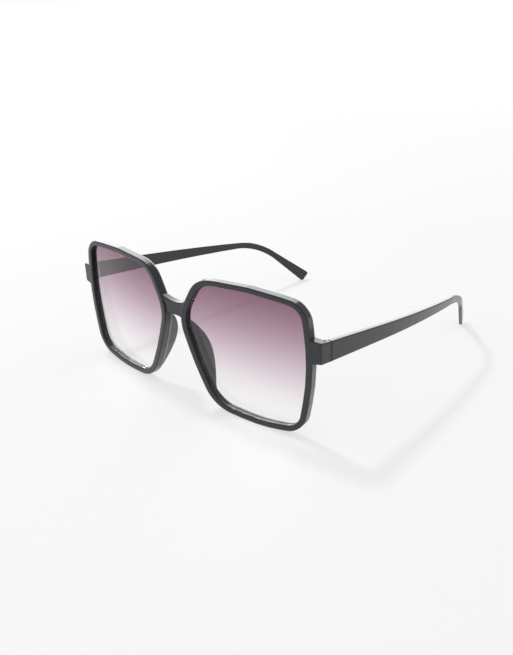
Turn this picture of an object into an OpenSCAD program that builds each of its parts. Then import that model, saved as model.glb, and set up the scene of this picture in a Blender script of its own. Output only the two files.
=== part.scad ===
// Square sunglasses: a front moulded in one piece with its nose pads, two flat tinted lenses, and two
// folding temples on barrel hinges with screws. Millimetres and degrees.
//
// Every piece is drawn in the front's own frame: X towards the wearer's left, Y from the front back to
// the ears, Z up, with the origin at half the lens height, where the two rims' front planes meet.
// stance() then tips the whole object, so that it stands on both rims and both temple tips.

/* [Lenses] */
// Width of one lens, edge to edge
lens_w = 58.6; // [52:0.1:64]
// Height of one lens, edge to edge
lens_h = 54.4; // [46:0.1:60]
// Thickness of a lens
lens_t = 1.6; // [1.2:0.1:2]
// Distance between the two lenses, measured along their faces
lens_gap = 14.4; // [12:0.1:22]
// How far each lens turns back towards its temple, in degrees
wrap = 6.7; // [0:0.1:10]
// Depth of the lens edge in the rim's groove
lens_seat = 0.6; // [0.4:0.05:0.7]
// How far the lens lies behind the rim's front face
lens_recess = 1.1; // [0.8:0.1:1.8]

/* [Front] */
// Depth of the rims, front to back
rim_depth = 4; // [3.4:0.1:5]
// Width of the rim above the lens
rim_top = 2.25; // [1.8:0.05:4]
// Width of the rim below the lens
rim_bottom = 2.5; // [1.8:0.05:4]
// Width of the rim beside the temple
rim_side = 2.8; // [1.8:0.05:4]
// Width of the rim beside the nose
rim_nose = 2.8; // [1.8:0.05:4]
// Width of the rim at its two outer corners
rim_corner = 2.2; // [1.8:0.05:4]
// Radius along the rim's edges
rim_edge = 0.45; // [0.2:0.05:0.7]
// Radius along the rim's outer back edge
rim_back_edge = 0.95; // [0.4:0.05:1]
// Radius along the rim's back edge beside the lens
rim_lens_edge = 1.2; // [0.4:0.05:1.2]
// Height of the bridge at its middle
bridge_h = 5.8; // [4:0.1:9]
// Height of the bridge's middle above the middle of the lenses
bridge_z = 11.5; // [8:0.1:16]
// Depth of the bridge, front to back
bridge_depth = 3.5; // [3:0.1:6]
// How far the middle of the bridge lies behind the rims
bridge_recess = 1.5; // [0.8:0.1:2]

/* [Nose pads] */
// How far a pad stands back from the rim
pad_depth = 5.9; // [4:0.1:10]
// Thickness of a pad
pad_t = 2.3; // [1.6:0.1:2.6]
// How far a pad's back edge leans away from the nose
pad_spread_w = 1.7; // [0:0.1:3]

/* [End pieces] */
// How far an end piece stands out beside the rim
end_piece_w = 4.66; // [3.5:0.02:7]
// Length of the end piece, from its front face to the temple
end_piece_l = 5.4; // [5:0.1:10]
// How far the end piece widens from its front corner to the temple
end_piece_spread_w = 0.8; // [0:0.1:1.5]
// Height of the end piece where it leaves the rim
end_root_h = 9.8; // [8:0.1:12]
// Height of the end piece at its front corner
end_piece_h = 8.6; // [7.6:0.1:11]
// Height of the joint with the temple above the middle of the lenses
joint_z = 9.15; // [4:0.05:13]

/* [Temples] */
// Height of the temple at the hinge
temple_h = 8.2; // [7:0.1:10]
// Height of the temple where it bends down behind the ear
bend_h = 3.3; // [2.6:0.1:6]
// Height of the temple at its tip
tip_h = 6.2; // [3:0.1:8]
// Thickness of the temple at the hinge
temple_t = 2.4; // [2.2:0.1:3.4]
// Thickness of the temple at its tip
tip_t = 1.7; // [1.6:0.1:3]
// Length of the temple from the hinge to the bend
arm_l = 93.5; // [80:0.5:105]
// Length of the bend
bend_l = 27; // [8:1:40]
// Length of the temple from the bend to the end of the tip
tip_l = 25.6; // [20:0.2:50]
// Slope of the arm below the front's own level, in degrees
arm_drop = 7; // [4:0.1:10]
// Slope of the tip below the front's own level, in degrees
tip_drop = 40.2; // [30:0.2:50]
// Turn of the arm towards the head where the bend starts, in degrees
arm_turn = 7.7; // [0:0.1:9]
// Turn of the tip towards the head, in degrees
tip_turn = 25; // [10:0.5:28]

/* [Hinges] */
// Outside radius of a knuckle
knuckle_r = 1.3; // [1.1:0.05:1.5]
// Height of one knuckle
knuckle_h = 1.7; // [1.3:0.1:1.9]
// Radius of the screw's shank
screw_r = 0.7; // [0.5:0.05:0.8]
// Radius of the screw's head
screw_head_r = 1.1; // [0.9:0.05:1.2]
// Height of the screw's head
screw_head_h = 0.6; // [0.4:0.05:0.8]
// Thickness of a hinge leaf
leaf_t = 0.9; // [0.6:0.05:1]
// Thickness of the plastic over a hinge leaf, on its inner side
leaf_cover = 0.4; // [0.2:0.05:0.6]
// Length of the leaf let into the end piece
front_leaf_l = 2.6; // [2:0.1:3]
// Length of the leaf let into the temple
temple_leaf_l = 8; // [5:0.5:14]

/* [Hidden] */

// Clearances and the overrun of every cut
fit_gap = 0.05;
joint_gap = 0.3;
knuckle_gap = 0.12;
recess_gap = 0.25;
overrun = 0.5;
facet_angle = 6;
round_fn = 48;

// Corners of the lens outline, anticlockwise seen from the front. Each holds the place across and up the
// lens as shares of its width and height, and the radius as a share of its width. The corners in the
// middle of a side have a large radius, which bows that side.
outline_shares = [
    [0.962, 0.97, 0.117],
    [0.547, 1.014, 2.82],
    [0.143, 0.977, 0.2],
    [-0.024, 0.671, 0.25],
    [0.093, 0.327, 1.68],
    [0.24, 0.023, 0.242],
    [0.639, -0.012, 1.28],
    [0.934, 0.046, 0.143],
    [1.023, 0.54, 1.55],
];

// Small geometry helpers
function unit(v) = v / norm(v);
function turned(v, angle) = [v.x * cos(angle) - v.y * sin(angle), v.x * sin(angle) + v.y * cos(angle)];
function mix(a, b, share) = a + (b - a) * share;
function ramp(value, from, to) = min(1, max(0, (value - from) / (to - from)));

// Points round one corner b of an outline that runs from a to c
function corner(a, b, c, r) =
    let (
        back = unit(a - b),
        ahead = unit(c - b),
        turn = 180 - acos(back * ahead),
        centre = b + unit(back + ahead) * r / cos(turn / 2),
        start = b + back * r * tan(turn / 2) - centre,
        steps = max(2, ceil(turn / facet_angle))
    )
    [for (i = [0:steps]) centre + turned(start, turn * i / steps)];

// The lens outline in its own plane, stretched to the lens width and height
corner_count = len(outline_shares);
corner_points = [for (s = outline_shares) [s.x * lens_w, s.y * lens_h]];
raw_outline = [
    for (i = [0:corner_count - 1])
        each corner(
            corner_points[(i + corner_count - 1) % corner_count],
            corner_points[i],
            corner_points[(i + 1) % corner_count],
            outline_shares[i].z * lens_w
        )
];
raw_x = [for (p = raw_outline) p.x];
raw_z = [for (p = raw_outline) p.y];
lens_outline = [
    for (p = raw_outline)
        [
            lens_gap / 2 + lens_w * ramp(p.x, min(raw_x), max(raw_x)),
            lens_h * ramp(p.y, min(raw_z), max(raw_z)) - lens_h / 2,
        ]
];
outline_count = len(lens_outline);
outline_normals = [
    for (i = [0:outline_count - 1])
        let (
            here = lens_outline[i],
            ahead = unit(lens_outline[(i + 1) % outline_count] - here),
            behind = unit(here - lens_outline[(i + outline_count - 1) % outline_count])
        )
        turned(unit(ahead + behind), -90)
];

// A point of the lens plane, moved out by a distance and set back by a depth
function rim_point(i, out, depth) =
    let (p = lens_outline[i] + outline_normals[i] * out)
    [p.x, depth, p.y];

// Width of the rim where the outline faces a direction
function rim_width(n) =
    let (between = n.x > 0 ? rim_corner : rim_nose)
    between
    + ((n.x > 0 ? rim_side : rim_nose) - between) * pow(n.x, 6)
    + ((n.y > 0 ? rim_top : rim_bottom) - between) * pow(n.y, 6);

// The groove for the lens
groove_mid = lens_recess + lens_t / 2;
bevel_half = lens_t / 3;

// The rim's section at one point of the outline: rounded edges, and a groove for the lens inside. The back
// edges keep to less than half of the rim's width.
back_edge_share = 0.45;
function bulge(r) = r * (1 - sin(45));
function rim_section(i) =
    let (
        width = rim_width(outline_normals[i]),
        outer = width - lens_seat,
        inner = -lens_seat,
        outer_r = min(rim_back_edge, width * back_edge_share),
        inner_r = min(rim_lens_edge, width * back_edge_share, rim_depth - lens_recess - lens_t)
    )
    [
        for (q = [
            [inner, rim_edge],
            [inner + bulge(rim_edge), bulge(rim_edge)],
            [inner + rim_edge, 0],
            [outer - rim_edge, 0],
            [outer - bulge(rim_edge), bulge(rim_edge)],
            [outer, rim_edge],
            [outer, rim_depth - outer_r],
            [outer - bulge(outer_r), rim_depth - bulge(outer_r)],
            [outer - outer_r, rim_depth],
            [inner + inner_r, rim_depth],
            [inner + bulge(inner_r), rim_depth - bulge(inner_r)],
            [inner, rim_depth - inner_r],
            [inner, groove_mid + bevel_half],
            [0, groove_mid],
            [inner, groove_mid - bevel_half],
        ]) rim_point(i, q.x, q.y)
    ];

// Faces between neighbouring rings of equally many points
function ring_faces(rings, size, closed) = [
    for (i = [0:rings - (closed ? 1 : 2)], j = [0:size - 1])
        let (
            a = i * size + j,
            b = i * size + (j + 1) % size,
            c = ((i + 1) % rings) * size + (j + 1) % size,
            d = ((i + 1) % rings) * size + j
        )
        each [[a, b, c], [a, c, d]]
];

// A solid through a closed loop of rings
module ring_loop(rings) {
    polyhedron(
        points = [for (r = rings) each r],
        faces = ring_faces(len(rings), len(rings[0]), true)
    );
}

// A solid through an open run of rings, with a flat cap at each end
module loft(rings) {
    size = len(rings[0]);
    last = (len(rings) - 1) * size;
    polyhedron(
        points = [for (r = rings) each r],
        faces = concat(
            ring_faces(len(rings), size, false),
            [[for (j = [size - 1:-1:0]) j]],
            [[for (j = [0:size - 1]) last + j]]
        )
    );
}

// A rectangle with rounded corners about the middle of a bar, across by up, spanned by two directions
function bar_ring(middle, across, up, width, height, r) =
    let (b = bulge(r), w = width / 2, h = height / 2)
    [
        for (q = [
            [w - r, h], [w - b, h - b], [w, h - r],
            [w, r - h], [w - b, b - h], [w - r, -h],
            [r - w, -h], [b - w, b - h], [-w, r - h],
            [-w, h - r], [b - w, h - b], [r - w, h],
        ]) middle + across * q.x + up * q.y
    ];

// Turns a piece that is drawn in the lens plane to its place on the wearer's left
module in_lens_plane() {
    rotate([0, 0, wrap]) children();
}

module rim() {
    in_lens_plane() ring_loop([for (i = [outline_count - 1:-1:0]) rim_section(i)]);
}

// A nose pad: a rounded blade, moulded on, that runs on backwards from the rim's nose side. It follows the
// outline from one height to another, is deepest at its middle, and sinks into the rim at both ends.
pad_steps = 16;
pad_from_share = 0.64;
pad_to_share = 0.1;
pad_root = lens_recess + lens_t + fit_gap;
function lens_height(i) = lens_outline[i].y / lens_h + 1 / 2;
nose_points = [for (i = [1:outline_count - 1]) if (outline_normals[i].x < 0 && lens_height(i) > 0) i];
function nose_index(height) =
    [for (i = nose_points) if (lens_height(i) > height && lens_height(i + 1) <= height) i][0];
function nose_point(height, in, depth) =
    let (
        i = nose_index(height),
        share = (lens_height(i) - height) / (lens_height(i) - lens_height(i + 1))
    )
    mix(
        rim_point(i, rim_width(outline_normals[i]) - lens_seat - in, depth),
        rim_point(i + 1, rim_width(outline_normals[i + 1]) - lens_seat - in, depth),
        share
    );
function pad_ring(share) =
    let (
        height = mix(pad_from_share, pad_to_share, share),
        half = pad_t / 2,
        depth = pad_depth * sin(180 * pow(share, 0.88)) - fit_gap,
        lean = pad_spread_w * depth / pad_depth
    )
    [
        nose_point(height, fit_gap, pad_root),
        for (i = [0:6])
            let (angle = 30 * i)
            nose_point(
                height, half * (1 - cos(angle)) + lean, rim_depth + depth + half * (sin(angle) - 1)
            ),
        nose_point(height, pad_t, pad_root),
    ];
module nose_pad() {
    in_lens_plane() loft([for (i = [pad_steps:-1:0]) pad_ring(i / pad_steps)]);
}

// The bridge: a saddle that lies behind the rims' faces and swings into their nose sides
bridge_reach = lens_gap / 2 + rim_nose / 6;
bridge_steps = 14;
bridge_top_rise = bridge_h * 0.3;
bridge_bottom_fall = bridge_h * 0.65;
function bridge_ring(share) =
    let (
        x = bridge_reach * share,
        rim_y = bridge_reach * tan(wrap),
        front = mix(rim_y + rim_edge / 2, bridge_recess, 1 - pow(share, 4)),
        back = mix(bridge_recess + bridge_depth, rim_y + rim_depth - rim_back_edge / 2, pow(share, 2)),
        top = bridge_z + bridge_h / 2 + bridge_top_rise * pow(share, 2),
        bottom = bridge_z - bridge_h / 2 - bridge_bottom_fall * pow(share, 4)
    )
    bar_ring(
        [x, (front + back) / 2, (top + bottom) / 2], [0, 1, 0], [0, 0, 1],
        back - front, top - bottom, rim_edge
    );
module bridge_bar() {
    loft([for (i = [-bridge_steps / 2:bridge_steps / 2]) bridge_ring(2 * i / bridge_steps)]);
}

// It ends inside the rims, short of the grooves
module groove_keeper() {
    in_lens_plane() loft([
        for (depth = [-rim_depth, 2 * rim_depth])
            [for (i = [0:outline_count - 1]) rim_point(i, lens_seat / 2, depth)]
    ]);
}
module bridge() {
    difference() {
        bridge_bar();
        groove_keeper();
        mirror([1, 0, 0]) groove_keeper();
    }
}

// The end piece on the wearer's left: it runs on from the rim and turns back to the temple
joint_x = (lens_gap / 2 + lens_w + rim_side - lens_seat) * cos(wrap) + end_piece_w;
joint_y = joint_x * tan(wrap) + end_piece_l;
inner_x = joint_x - temple_t;
corner_z = joint_z + end_piece_l * tan(arm_drop) / 2;
end_piece_set_back = rim_edge / 4;

// Its path seen from above, outer and inner side: along behind the rims' front plane, round a corner and
// back along the side to the temple
function behind_front(x, depth) = [x, x * tan(wrap) + depth / cos(wrap)];
function side_path(root, bend, end, r) = [root, each corner(root, bend, end, r), end];
root_x = (lens_gap / 2 + lens_w + rim_side / 3) * cos(wrap);
joint_end_y = joint_y - joint_gap / 2;
outer_bend = behind_front(joint_x - end_piece_spread_w, end_piece_set_back);
side_way = unit([joint_x, joint_end_y] - outer_bend);
inner_bend =
    outer_bend - [temple_t, 0]
    + side_way * (rim_depth - temple_t * sin(wrap)) / (side_way.y * cos(wrap) - side_way.x * sin(wrap));
outer_path = side_path(
    behind_front(root_x, end_piece_set_back), outer_bend, [joint_x, joint_end_y], 2 * rim_edge
);
inner_path = side_path(
    behind_front(root_x, end_piece_set_back + rim_depth), inner_bend, [inner_x, joint_end_y], rim_edge
);
end_stations = len(outer_path);
root_z = corner_z - (end_root_h - end_piece_h) / 3;
function end_station_z(i) = i == 0 ? root_z : i == end_stations - 1 ? joint_z : corner_z;
function end_station_h(i) = i == 0 ? end_root_h : i == end_stations - 1 ? temple_h : end_piece_h;
module end_piece() {
    loft([
        for (i = [0:end_stations - 1])
            let (
                middle = (outer_path[i] + inner_path[i]) / 2,
                across = unit(inner_path[i] - outer_path[i])
            )
            bar_ring(
                [middle.x, middle.y, end_station_z(i)], [across.x, across.y, 0], [0, 0, 1],
                norm(inner_path[i] - outer_path[i]), end_station_h(i), rim_edge
            )
    ]);
}

// The hinge axis lies just inside the joint, half a knuckle in from the inner face
hinge_x = inner_x - knuckle_r / 2;
hinge_h = 3 * knuckle_h + 2 * knuckle_gap;
hinge_low = joint_z - hinge_h / 2;
recess_r = knuckle_r + recess_gap;

// Cut in the plastic for the knuckles
module hinge_recess() {
    translate([hinge_x, joint_y, hinge_low - knuckle_gap])
        cylinder(r = recess_r, h = hinge_h + screw_head_h + 2 * knuckle_gap, $fn = round_fn);
}

// A hinge leaf lies inside the plastic, forwards (-1) or backwards (1) of the joint, on a slope. Its root
// is open to the inner face, for the knuckles.
leaf_start = recess_r + recess_gap;
leaf_out = leaf_cover + leaf_t;
module beside_joint(direction, slope) {
    translate([inner_x, joint_y, joint_z]) rotate([-slope, 0, 0])
        if (direction > 0) children();
        else mirror([0, 1, 0]) children();
}
module leaf(length) {
    translate([leaf_cover, leaf_start - fit_gap, -hinge_h / 2])
        cube([leaf_t, length + fit_gap, hinge_h]);
}
module leaf_pocket(length) {
    translate([-leaf_t, -overrun, -hinge_h / 2 - fit_gap])
        cube([leaf_t + leaf_out + fit_gap, overrun + leaf_start, hinge_h + 2 * fit_gap]);
    translate([leaf_cover - fit_gap, -overrun, -hinge_h / 2 - fit_gap])
        cube([leaf_t + 2 * fit_gap, overrun + leaf_start + length + fit_gap, hinge_h + 2 * fit_gap]);
}

module front_frame() {
    color("#26262a") difference() {
        union() {
            bridge();
            for (side = [0, 1]) mirror([side, 0, 0]) {
                rim();
                nose_pad();
                end_piece();
            }
        }
        for (side = [0, 1]) mirror([side, 0, 0]) {
            hinge_recess();
            beside_joint(-1, 0) leaf_pocket(front_leaf_l);
        }
    }
}

// A flat lens with a bevelled edge that seats in the rim's groove
lens_edge = [
    [-lens_seat - fit_gap, lens_recess],
    [-lens_seat - fit_gap, groove_mid - bevel_half],
    [-fit_gap, groove_mid],
    [-lens_seat - fit_gap, groove_mid + bevel_half],
    [-lens_seat - fit_gap, lens_recess + lens_t],
];
module lens() {
    color("#a98a9c", 0.6) in_lens_plane() loft([
        for (q = lens_edge) [for (i = [0:outline_count - 1]) rim_point(i, q.x, q.y)]
    ]);
}

// One knuckle of the hinge, counted from the bottom, bored for the screw
function knuckle_z(index) = hinge_low + index * (knuckle_h + knuckle_gap);
module knuckle(index, direction) {
    translate([hinge_x, joint_y, knuckle_z(index)]) difference() {
        union() {
            cylinder(r = knuckle_r, h = knuckle_h, $fn = round_fn);
            translate([knuckle_r / 2, direction > 0 ? 0 : -recess_r, 0])
                cube([leaf_out, recess_r, knuckle_h]);
            translate([knuckle_r / 2 + leaf_cover, direction > 0 ? 0 : -leaf_start - overrun, 0])
                cube([leaf_t, leaf_start + overrun, knuckle_h]);
        }
        translate([0, 0, -overrun])
            cylinder(r = screw_r + fit_gap, h = knuckle_h + 2 * overrun, $fn = round_fn);
    }
}
module front_hinge() {
    color("#b9b9bd") union() {
        knuckle(0, -1);
        knuckle(2, -1);
        beside_joint(-1, 0) leaf(front_leaf_l);
    }
}
module temple_hinge() {
    color("#b9b9bd") union() {
        knuckle(1, 1);
        beside_joint(1, arm_drop) leaf(temple_leaf_l);
    }
}
module hinge_screw() {
    color("#9c9ca2") translate([hinge_x, joint_y, hinge_low]) difference() {
        union() {
            cylinder(r = screw_r, h = hinge_h + fit_gap, $fn = round_fn);
            translate([0, 0, hinge_h + fit_gap])
                cylinder(r = screw_head_r, h = screw_head_h, $fn = round_fn);
        }
        translate([-screw_head_r - overrun, -screw_r / 4, hinge_h + fit_gap + screw_head_h / 2])
            cube([2 * (screw_head_r + overrun), screw_r / 2, screw_head_h]);
    }
}

// The temple's middle line: straight, then a slow bow towards the head, a bend, and a straight tip
temple_l = arm_l + bend_l + tip_l;
bow_start = arm_l / 3;
tip_round = tip_h / 4;
arm_steps = 14;
bend_steps = 8;
tip_steps = 6;
round_steps = 3;
stations = concat(
    [for (i = [0:arm_steps]) arm_l * i / arm_steps],
    [for (i = [1:bend_steps]) arm_l + bend_l * i / bend_steps],
    [for (i = [1:tip_steps]) arm_l + bend_l + (tip_l - tip_round) * i / tip_steps],
    [for (i = [1:round_steps]) temple_l - tip_round * (1 - sin(90 * i / round_steps))]
);
function turn_at(s) =
    arm_turn * ramp(s, bow_start, arm_l) + (tip_turn - arm_turn) * ramp(s, arm_l, arm_l + bend_l);
function drop_at(s) = mix(arm_drop, tip_drop, ramp(s, arm_l, arm_l + bend_l));
function heading(s) = [
    -sin(turn_at(s)) * cos(drop_at(s)),
    cos(turn_at(s)) * cos(drop_at(s)),
    -sin(drop_at(s)),
];
function height_at(s) =
    s < arm_l + bend_l ? mix(temple_h, bend_h, ramp(s, 0, arm_l))
    : mix(bend_h, tip_h, ramp(s, arm_l + bend_l, temple_l));
function thickness_at(s) = mix(temple_t, tip_t, ramp(s, 0, temple_l));
temple_start = [joint_x - temple_t / 2, joint_y + joint_gap / 2, joint_z];
temple_line = [
    for (
        i = 0, p = temple_start;
        i < len(stations);
        p = p + heading((stations[i] + stations[min(i + 1, len(stations) - 1)]) / 2)
            * (stations[min(i + 1, len(stations) - 1)] - stations[i]),
        i = i + 1
    ) p
];
function temple_ring(i) =
    let (
        s = stations[i],
        past = max(0, s - temple_l + tip_round) / tip_round,
        shrink = tip_round * (1 - sqrt(1 - past * past)),
        across = [-cos(turn_at(s)), -sin(turn_at(s)), 0],
        up = cross(heading(s), across),
        height = height_at(s) - 2 * shrink,
        thickness = thickness_at(s) - shrink
    )
    bar_ring(temple_line[i], across, i == 0 ? [0, 0, 1] : up, thickness, height, min(rim_edge, thickness / 3));
temple_rings = [for (i = [0:len(stations) - 1]) temple_ring(i)];
module temple() {
    color("#2e2e32") difference() {
        loft(temple_rings);
        hinge_recess();
        beside_joint(1, arm_drop) leaf_pocket(temple_leaf_l);
    }
}

// How the object stands: the lean brings the rims and the temple tips down to one level
function leaned(p, lean) = [p.x, p.y * cos(lean) - p.z * sin(lean), p.y * sin(lean) + p.z * cos(lean)];
function lowest(points, lean) =
    let (
        heights = [for (p = points) leaned(p, lean).z],
        low = min(heights)
    )
    points[search(low, heights)[0]];
function placed(p) = [each turned([p.x, p.y], wrap), p.z];
rim_points = [for (i = [0:outline_count - 1]) each [for (q = rim_section(i)) placed(q)]];
tip_points = [for (r = temple_rings) each r];
function lean_after(steps) =
    steps == 0 ? 0
    : let (
        before = lean_after(steps - 1),
        rim_foot = lowest(rim_points, before),
        tip_foot = lowest(tip_points, before)
    )
    atan((rim_foot.z - tip_foot.z) / (tip_foot.y - rim_foot.y));
lean_steps = 4;
lean = lean_after(lean_steps);
stand_z = -leaned(lowest(rim_points, lean), lean).z;
front_y = min([for (p = rim_points) leaned(p, lean).y]);
back_y = max([for (p = tip_points) leaned(p, lean).y]);
module stance() {
    translate([0, -(front_y + back_y) / 2, stand_z]) rotate([lean, 0, 0]) children();
}
module on_left() {
    stance() children();
}
module on_right() {
    stance() mirror([1, 0, 0]) children();
}

stance() front_frame();
on_left() lens();  // left_lens
on_right() lens();  // right_lens
on_left() front_hinge();  // left_front_hinge
on_right() front_hinge();  // right_front_hinge
on_left() temple_hinge();  // left_temple_hinge
on_right() temple_hinge();  // right_temple_hinge
on_left() hinge_screw();  // left_hinge_screw
on_right() hinge_screw();  // right_hinge_screw
on_left() temple();  // left_temple
on_right() temple();  // right_temple
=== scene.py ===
# Square sunglasses: the looks. Every CAD piece keeps its shape here and gets its finish, smooth shading
# over its rounded edges, and a plain pale studio round it.
import math

import bpy
from mathutils import Matrix, Vector


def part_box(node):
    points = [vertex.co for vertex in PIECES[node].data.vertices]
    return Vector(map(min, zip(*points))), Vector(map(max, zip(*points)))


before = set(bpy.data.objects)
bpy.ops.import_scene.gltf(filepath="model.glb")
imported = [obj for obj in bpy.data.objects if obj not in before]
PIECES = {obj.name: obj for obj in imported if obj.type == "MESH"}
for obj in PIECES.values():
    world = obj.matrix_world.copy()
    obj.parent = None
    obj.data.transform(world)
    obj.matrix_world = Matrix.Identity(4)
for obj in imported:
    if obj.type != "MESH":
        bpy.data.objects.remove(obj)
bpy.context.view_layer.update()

# One millimetre in metres
MM = 0.001

# Directions in the shared frame
LEFT = (1, 0, 0)
FORWARD = (0, -1, 0)
BACK = (0, 1, 0)
UP = (0, 0, 1)

# Colours, as light values from 0 to 1
PLASTIC = (0.0070, 0.0082, 0.0125)
TINT = (0.235, 0.114, 0.168)
CLEAR = (0.99, 0.985, 0.99)
STEEL = (0.56, 0.56, 0.58)
STEEL_DARK = (0.42, 0.42, 0.44)
FLOOR = (0.93, 0.93, 0.935)
WHITE = (1, 1, 1)

# The moulded plastic: the roughness of the front and of the temples, how far it varies, the gloss, how
# much paler the polished patches are, and the radius and samples that the edges are shaded with
FRONT_ROUGHNESS = 0.17
ARM_ROUGHNESS = 0.15
ROUGHNESS_SPREAD = 0.03
PLASTIC_IOR = 1.56
PATCH_PALENESS = 1.5
EDGE_RADIUS = 0.35 * MM
EDGE_SAMPLES = 6

# Its polished patches and its grain, as features per metre, and the grain's depth
PATCHES = 90
GRAIN = 5200
GRAIN_DETAIL = 3
GRAIN_DEPTH = 0.002 * MM

# The front: the left rim's middle, the turn of each rim back towards its temple in degrees, and the depths
# between which a rim ends at the back, with that turn taken out
RIM_MIDDLE = (36.3 * MM, 0, 29 * MM)
RIM_TURN = 6.7
RIM_BACK_START = -71 * MM
RIM_BACK_END = -70.2 * MM

# How far the outer side walls lean back, and how much rougher the inner ones are. A wall faces its rim's
# middle at -1 and away from it at 1, and each effect starts and is full at the facing given here.
DRAFT = 0.18
INNER_MATT = 0.6
INNER_START = -0.4
INNER_FULL = -0.9
OUTER_START = 0.3
OUTER_FULL = 0.8

# The temples: where the outer face's turn towards the head starts and ends, and its amount at both places
ARM_FRONT = -50 * MM
ARM_BEND = 32 * MM
TURN_AT_FRONT = 0.0325
TURN_AT_BEND = 0.13

# The steel: its drawn marks, as features per metre, long along the hinge's axis, their depth, how dark they
# are, the roughness in them and between them, and how much the gloss is drawn out
MARKS = 3000
MARKS_DETAIL = 4
MARKS_STRETCH = (1, 1, 0.08)
MARKS_DEPTH = 0.003 * MM
MARKS_SHADE = 0.8
MARKS_ROUGHNESS = 0.25
STEEL_ROUGHNESS = 0.4
STEEL_ANISOTROPY = 0.3

# The lenses: the bulge, as turn of the surface for each metre from the middle, how little the thin plate
# bends light, its gloss, and its faint smears, as features per metre
LENS_CURVE = 6
LENS_IOR = 1.06
GLOSS_IOR = 1.5
SMEARS = 60
SMEARS_DETAIL = 1
SMEARS_ROUGHNESS = 0.02

# Their dye, from the bottom of the lens at 0 to its top at 1: where it starts, how long it takes to its
# full depth, how slowly it sets in, and the steps that draw it
DYE_START = 0.12
DYE_LENGTH = 0.85
DYE_POWER = 1.6
DYE_STEPS = 8

# How close two points of a piece are when they are joined, and the sharpest edges that are shaded
# smoothly, in degrees
JOIN_WITHIN = 0.002 * MM
MOULDED_SMOOTH = 50
LENS_SMOOTH = 25
STEEL_SMOOTH = 35

# The usual range of a noise
NOISE_LOW = 0.3
NOISE_HIGH = 0.7

# The photograph's view: where its camera stands, how it is turned in degrees, its focal length in pixels,
# and the height of the picture, which is the longer side and so the one that the sensor's size is for
CAMERA_PLACE = Vector((226.24, -262.27, 157.89)) * MM
CAMERA_YAW = 43.608
CAMERA_PITCH = 23.449
CAMERA_ROLL = -1.537
FOCAL_PIXELS = 769.9
IMAGE_H = 655
SENSOR = 36
CLIP_START = 0.01
CLIP_END = 100

# The floor: how far it reaches, how much of what is seen of it is its own glow, and how that glow grows
# between two distances from the object, so that the floor fades into the white behind it
FLOOR_REACH = 30
GLOW_SHARE = 0.6
GLOW_NEAR = 1.045
GLOW_FAR = 1.4
NEAR_DISTANCE = 0.2
FAR_DISTANCE = 1.4

# The world's level, as light on the object and as seen by the camera
WORLD_LIGHT = 0.6
WORLD_SEEN = 1.0


def set_inputs(node, **values):
    """Sets a node's plain inputs by name, with _ for each space."""
    for name, value in values.items():
        node.inputs[name.replace("_", " ")].default_value = value


def feed(tree, node, values):
    """Gives a node its inputs in order, each as a socket or a plain value."""
    for socket, value in zip(node.inputs, values):
        if isinstance(value, bpy.types.NodeSocket):
            tree.links.new(value, socket)
        else:
            socket.default_value = value


def number_math(tree, operation, *values):
    """One step of arithmetic on numbers, as its result's socket."""
    node = tree.nodes.new("ShaderNodeMath")
    node.operation = operation
    feed(tree, node, values)
    return node.outputs["Value"]


def vector_math(tree, operation, *values):
    """One step of arithmetic on vectors, as its result's socket."""
    node = tree.nodes.new("ShaderNodeVectorMath")
    node.operation = operation
    feed(tree, node, values)
    return node.outputs["Value" if operation in ("DOT_PRODUCT", "LENGTH") else "Vector"]


def mix_shaders(tree, share, first, second):
    """A mix of two shaders, as its result's socket."""
    node = tree.nodes.new("ShaderNodeMixShader")
    feed(tree, node, (share, first, second))
    return node.outputs["Shader"]


def ramp(tree, value, start, end, first, last):
    """A value mapped from start..end to first..last, and held at both ends."""
    node = tree.nodes.new("ShaderNodeMapRange")
    set_inputs(node, From_Min=start, From_Max=end, To_Min=first, To_Max=last)
    tree.links.new(value, node.inputs["Value"])
    return node.outputs["Result"]


def place_on(tree):
    """Each point's place in its piece's own coordinates, which at rest are the shared frame's."""
    return tree.nodes.new("ShaderNodeTexCoord").outputs["Object"]


def noise(tree, scale, detail=2.0, stretch=(1, 1, 1)):
    """A noise in the piece's own coordinates, with scale in features per metre."""
    mapping = tree.nodes.new("ShaderNodeMapping")
    texture = tree.nodes.new("ShaderNodeTexNoise")
    set_inputs(mapping, Scale=stretch)
    set_inputs(texture, Scale=scale, Detail=detail)
    tree.links.new(place_on(tree), mapping.inputs["Vector"])
    tree.links.new(mapping.outputs["Vector"], texture.inputs["Vector"])
    return texture.outputs["Fac"]


def spread(tree, texture, low, high):
    """A noise mapped from its usual range to low..high."""
    return ramp(tree, texture, NOISE_LOW, NOISE_HIGH, low, high)


def blend_colours(tree, share, first, second):
    """A mix of two colours by a noise."""
    node = tree.nodes.new("ShaderNodeMix")
    node.data_type = "RGBA"
    set_inputs(node, A=(*first, 1), B=(*second, 1))
    tree.links.new(share, node.inputs["Factor"])
    return node.outputs["Result"]


def bump(tree, height, depth, normal=None):
    """A bump of a real depth in metres, over the given normals or the piece's own."""
    node = tree.nodes.new("ShaderNodeBump")
    set_inputs(node, Strength=1, Distance=depth)
    tree.links.new(height, node.inputs["Height"])
    if normal:
        tree.links.new(normal, node.inputs["Normal"])
    return node.outputs["Normal"]


def rounded_edges(tree):
    """Normals that shade every edge as if it had a small radius."""
    node = tree.nodes.new("ShaderNodeBevel")
    node.samples = EDGE_SAMPLES
    set_inputs(node, Radius=EDGE_RADIUS)
    return node.outputs["Normal"]


def on_left_half(tree, normal, place):
    """Normals as they are on the wearer's left half, so that one rule serves both. Their y isn't for use."""
    return vector_math(tree, "MULTIPLY", normal, vector_math(tree, "SIGN", place))


def lean_back(tree, normal, amount):
    """Leans normals towards the wearer by an amount, as draft or a slight turn does."""
    back = vector_math(tree, "MULTIPLY", amount, BACK)
    return vector_math(tree, "NORMALIZE", vector_math(tree, "ADD", normal, back))


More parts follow.
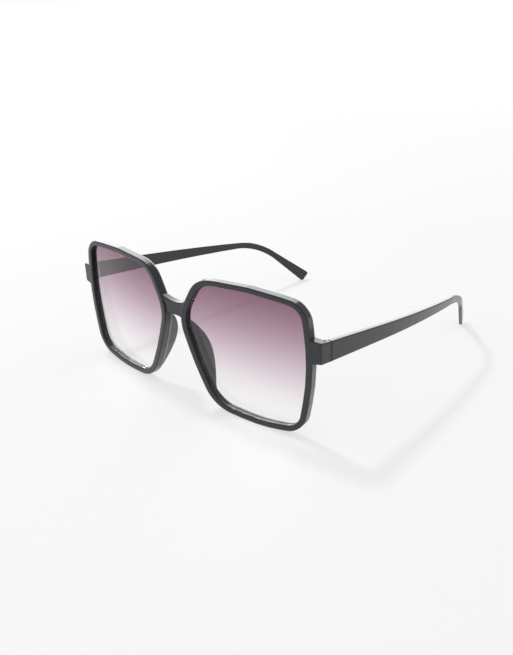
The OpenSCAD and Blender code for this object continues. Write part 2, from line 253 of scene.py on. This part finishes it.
def rim_walls(tree, normal):
    """What the front's walls need, as (facing, depth). Facing is -1 on a wall that faces its rim's middle
    and 1 on one that faces away. Depth is how far back a point lies, with the rims' turn taken out."""
    place = place_on(tree)
    half = vector_math(tree, "ABSOLUTE", place)
    from_middle = vector_math(tree, "SUBTRACT", half, RIM_MIDDLE)
    across = vector_math(tree, "NORMALIZE", vector_math(tree, "MULTIPLY", from_middle, (1, 0, 1)))
    facing = vector_math(tree, "DOT_PRODUCT", across, on_left_half(tree, normal, place))
    way_back = (-math.tan(math.radians(RIM_TURN)), -1, 0)
    return facing, vector_math(tree, "DOT_PRODUCT", half, way_back)


def front_walls(tree, normal, polish):
    """The front's drafted outer side walls and matt inner ones, as (normal, roughness)."""
    facing, depth = rim_walls(tree, normal)
    sideways = vector_math(tree, "DOT_PRODUCT", vector_math(tree, "ABSOLUTE", normal), LEFT)
    in_rim = ramp(tree, depth, RIM_BACK_START, RIM_BACK_END, 1, 0)
    side_wall = number_math(tree, "MULTIPLY", sideways, in_rim)
    matt = ramp(tree, facing, INNER_FULL, INNER_START, INNER_MATT, 0)
    draft = ramp(tree, facing, OUTER_START, OUTER_FULL, 0, DRAFT)
    leaning = lean_back(tree, normal, number_math(tree, "MULTIPLY", draft, side_wall))
    return leaning, number_math(tree, "ADD", polish, number_math(tree, "MULTIPLY", matt, side_wall))


def arm_walls(tree, normal, polish):
    """The temples' outer faces, which turn in a little more towards the bend, as (normal, roughness)."""
    place = place_on(tree)
    outward = vector_math(tree, "DOT_PRODUCT", on_left_half(tree, normal, place), LEFT)
    along = vector_math(tree, "DOT_PRODUCT", place, BACK)
    outer = ramp(tree, outward, OUTER_START, OUTER_FULL, 0, 1)
    turn = ramp(tree, along, ARM_FRONT, ARM_BEND, TURN_AT_FRONT, TURN_AT_BEND)
    return lean_back(tree, normal, number_math(tree, "MULTIPLY", turn, outer)), polish


def new_material(name):
    """A material with one Principled shader, as (material, its node tree, the shader)."""
    material = bpy.data.materials.new(name)
    material.use_nodes = True
    tree = material.node_tree
    return material, tree, tree.nodes["Principled BSDF"]


def moulded_plastic(name, roughness, walls):
    """Satin moulded plastic: a fine even grain, and faint patches where handling has polished it."""
    material, tree, shader = new_material(name)
    patches = noise(tree, PATCHES)
    grain = noise(tree, GRAIN, detail=GRAIN_DETAIL)
    paler = tuple(PATCH_PALENESS * c for c in PLASTIC)
    polish = spread(tree, patches, roughness - ROUGHNESS_SPREAD, roughness + ROUGHNESS_SPREAD)
    normal, polish = walls(tree, rounded_edges(tree), polish)
    set_inputs(shader, IOR=PLASTIC_IOR)
    tree.links.new(blend_colours(tree, patches, PLASTIC, paler), shader.inputs["Base Color"])
    tree.links.new(polish, shader.inputs["Roughness"])
    tree.links.new(bump(tree, grain, GRAIN_DEPTH, normal), shader.inputs["Normal"])
    return material


def brushed_steel(name, colour):
    """Steel with fine marks drawn along the hinge's axis."""
    material, tree, shader = new_material(name)
    marks = noise(tree, MARKS, detail=MARKS_DETAIL, stretch=MARKS_STRETCH)
    darker = tuple(MARKS_SHADE * c for c in colour)
    set_inputs(shader, Metallic=1, Anisotropic=STEEL_ANISOTROPY)
    tree.links.new(blend_colours(tree, marks, darker, colour), shader.inputs["Base Color"])
    tree.links.new(spread(tree, marks, MARKS_ROUGHNESS, STEEL_ROUGHNESS), shader.inputs["Roughness"])
    tree.links.new(bump(tree, marks, MARKS_DEPTH), shader.inputs["Normal"])
    return material


def fading_dye(tree, bottom, top):
    """The colour of a lens that lies between two heights: clear at its bottom, tinted at its top."""
    height = vector_math(tree, "DOT_PRODUCT", place_on(tree), UP)
    dye = tree.nodes.new("ShaderNodeValToRGB")
    dye.color_ramp.interpolation = "B_SPLINE"
    shares = [i / DYE_STEPS for i in range(DYE_STEPS + 1)]
    stops = dye.color_ramp.elements
    for share in shares[1:-1]:
        stops.new(share)
    for stop, share in zip(stops, shares):
        amount = max(0, (share - DYE_START) / DYE_LENGTH) ** DYE_POWER
        stop.color = (*(clear * tint ** amount for clear, tint in zip(CLEAR, TINT)), 1)
    tree.links.new(ramp(tree, height, bottom, top, 0, 1), dye.inputs["Fac"])
    return dye.outputs["Color"]


def bulge(tree, middle):
    """Normals of a lens that bulges slightly forward. Only the gloss follows them: the plate is flat."""
    place = tree.nodes.new("ShaderNodeTexCoord")
    normal = place.outputs["Normal"]
    away = vector_math(tree, "SUBTRACT", place.outputs["Object"], middle)
    turn = vector_math(tree, "MULTIPLY", away, (LENS_CURVE, 0, LENS_CURVE))
    side = vector_math(tree, "DOT_PRODUCT", normal, FORWARD)
    signed = vector_math(tree, "MULTIPLY", turn, side)
    return vector_math(tree, "NORMALIZE", vector_math(tree, "ADD", normal, signed))


def tint_shadow(tree, shader, dye):
    """Lets the lamps shine through a lens, so that it leaves a faint tinted shadow."""
    see_through = tree.nodes.new("ShaderNodeBsdfTransparent")
    tree.links.new(dye, see_through.inputs["Color"])
    lamp = tree.nodes.new("ShaderNodeLightPath").outputs["Is Shadow Ray"]
    surface = mix_shaders(tree, lamp, shader.outputs["BSDF"], see_through.outputs["BSDF"])
    tree.links.new(surface, tree.nodes["Material Output"].inputs["Surface"])


def gradient_lens(name, low, high):
    """Clear lens plastic with a violet dye that fades out towards the bottom of its box."""
    material, tree, shader = new_material(name)
    dye = fading_dye(tree, low.z, high.z)
    smears = noise(tree, SMEARS, detail=SMEARS_DETAIL)
    set_inputs(shader, IOR=LENS_IOR, Transmission_Weight=1, Coat_Weight=1, Coat_IOR=GLOSS_IOR)
    tree.links.new(dye, shader.inputs["Base Color"])
    tree.links.new(spread(tree, smears, 0, SMEARS_ROUGHNESS), shader.inputs["Roughness"])
    tree.links.new(bulge(tree, (low + high) / 2), shader.inputs["Coat Normal"])
    tint_shadow(tree, shader, dye)
    return material


def shade_smooth(piece, sharpest):
    """Joins a piece's facets and shades it smoothly, but not over edges sharper than an angle."""
    weld = piece.modifiers.new("join_facets", "WELD")
    weld.merge_threshold = JOIN_WITHIN
    with bpy.context.temp_override(
        object=piece, active_object=piece, selected_objects=[piece], selected_editable_objects=[piece]
    ):
        bpy.ops.object.shade_auto_smooth(angle=math.radians(sharpest))
    even = piece.modifiers.new("flat_faces_stay_flat", "WEIGHTED_NORMAL")
    even.keep_sharp = True


def finish_piece(name, material, sharpest):
    """Gives a CAD piece its material, in place of every slot it came with, and its smooth shading."""
    piece = PIECES[name]
    piece.data.materials.clear()
    piece.data.materials.append(material)
    shade_smooth(piece, sharpest)


def dress_pieces():
    """The finish of every piece."""
    front = moulded_plastic("front_plastic", FRONT_ROUGHNESS, front_walls)
    arm = moulded_plastic("temple_plastic", ARM_ROUGHNESS, arm_walls)
    hinge = brushed_steel("hinge_steel", STEEL)
    screw = brushed_steel("screw_steel", STEEL_DARK)
    finish_piece("front_frame", front, MOULDED_SMOOTH)
    for side in ("left", "right"):
        lens = gradient_lens(f"{side}_lens_tint", *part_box(f"{side}_lens"))
        finish_piece(f"{side}_lens", lens, LENS_SMOOTH)
        finish_piece(f"{side}_temple", arm, MOULDED_SMOOTH)
        finish_piece(f"{side}_front_hinge", hinge, STEEL_SMOOTH)
        finish_piece(f"{side}_temple_hinge", hinge, STEEL_SMOOTH)
        finish_piece(f"{side}_hinge_screw", screw, STEEL_SMOOTH)


def new_object(name, data):
    """A new object in the scene, with its camera, lamp or mesh."""
    made = bpy.data.objects.new(name, data)
    bpy.context.scene.collection.objects.link(made)
    return made


def add_camera():
    """The camera at the photograph's view, with no shift and no depth of field."""
    data = bpy.data.cameras.new("camera")
    data.sensor_width = SENSOR
    data.lens = FOCAL_PIXELS * SENSOR / IMAGE_H
    data.clip_start = CLIP_START
    data.clip_end = CLIP_END
    camera = new_object("camera", data)
    turn = (
        Matrix.Rotation(math.radians(CAMERA_YAW), 4, "Z")
        @ Matrix.Rotation(math.radians(90 - CAMERA_PITCH), 4, "X")
        @ Matrix.Rotation(math.radians(CAMERA_ROLL), 4, "Z")
    )
    camera.matrix_world = Matrix.Translation(CAMERA_PLACE) @ turn
    bpy.context.scene.camera = camera


def floor_paper():
    """Pale paper that keeps its shadows, under a glow that the camera, gloss and lenses see."""
    material, tree, shader = new_material("floor_paper")
    tree.nodes.remove(shader)
    paper = tree.nodes.new("ShaderNodeBsdfDiffuse")
    glow = tree.nodes.new("ShaderNodeEmission")
    set_inputs(paper, Color=(*FLOOR, 1))
    set_inputs(glow, Color=(*WHITE, 1))
    distance = vector_math(tree, "LENGTH", place_on(tree))
    strength = ramp(tree, distance, NEAR_DISTANCE, FAR_DISTANCE, GLOW_NEAR, GLOW_FAR)
    tree.links.new(strength, glow.inputs["Strength"])
    rays = tree.nodes.new("ShaderNodeLightPath").outputs
    seen = number_math(tree, "MAXIMUM", rays["Is Camera Ray"], rays["Is Glossy Ray"])
    seen = number_math(tree, "MAXIMUM", seen, rays["Is Transmission Ray"])
    share = number_math(tree, "MULTIPLY", seen, GLOW_SHARE)
    surface = mix_shaders(tree, share, paper.outputs["BSDF"], glow.outputs["Emission"])
    tree.links.new(surface, tree.nodes["Material Output"].inputs["Surface"])
    return material


def add_floor():
    """A wide pale floor, which isn't part of the object."""
    mesh = bpy.data.meshes.new("floor")
    corners = [(x * FLOOR_REACH, y * FLOOR_REACH, 0) for x, y in ((-1, -1), (1, -1), (1, 1), (-1, 1))]
    mesh.from_pydata(corners, [], [(0, 1, 2, 3)])
    mesh.materials.append(floor_paper())
    new_object("floor", mesh)


def add_world():
    """Even pale light from all round, white where the camera looks past the floor."""
    world = bpy.data.worlds.new("world")
    world.use_nodes = True
    tree = world.node_tree
    sky = tree.nodes["Background"]
    set_inputs(sky, Color=(*WHITE, 1))
    seen = tree.nodes.new("ShaderNodeLightPath").outputs["Is Camera Ray"]
    tree.links.new(ramp(tree, seen, 0, 1, WORLD_LIGHT, WORLD_SEEN), sky.inputs["Strength"])
    bpy.context.scene.world = world


def add_softbox(name, azimuth, elevation, distance, size, radiance):
    """A square soft light of a given radiance that faces the object. Azimuth counts from +Y towards +X."""
    data = bpy.data.lights.new(name, "AREA")
    data.shape = "SQUARE"
    data.size = size
    data.energy = radiance * math.pi * size * size
    turn = math.radians(azimuth)
    rise = math.radians(elevation)
    way = Vector((math.cos(rise) * math.sin(turn), math.cos(rise) * math.cos(turn), math.sin(rise)))
    light = new_object(name, data)
    light.location = way * distance
    light.rotation_euler = way.to_track_quat("Z", "Y").to_euler()
    return light


def add_lights():
    """A small key from the right temple's side, and a large box low behind that only the gloss shows."""
    key = add_softbox("key", azimuth=-88, elevation=59, distance=0.85, size=0.1, radiance=72)
    key.visible_glossy = False
    back = add_softbox("back", azimuth=-44, elevation=27, distance=1.6, size=1.5, radiance=2.75)
    back.visible_diffuse = False


dress_pieces()
add_camera()
add_floor()
add_world()
add_lights()
bpy.context.scene.view_settings.view_transform = "Standard"
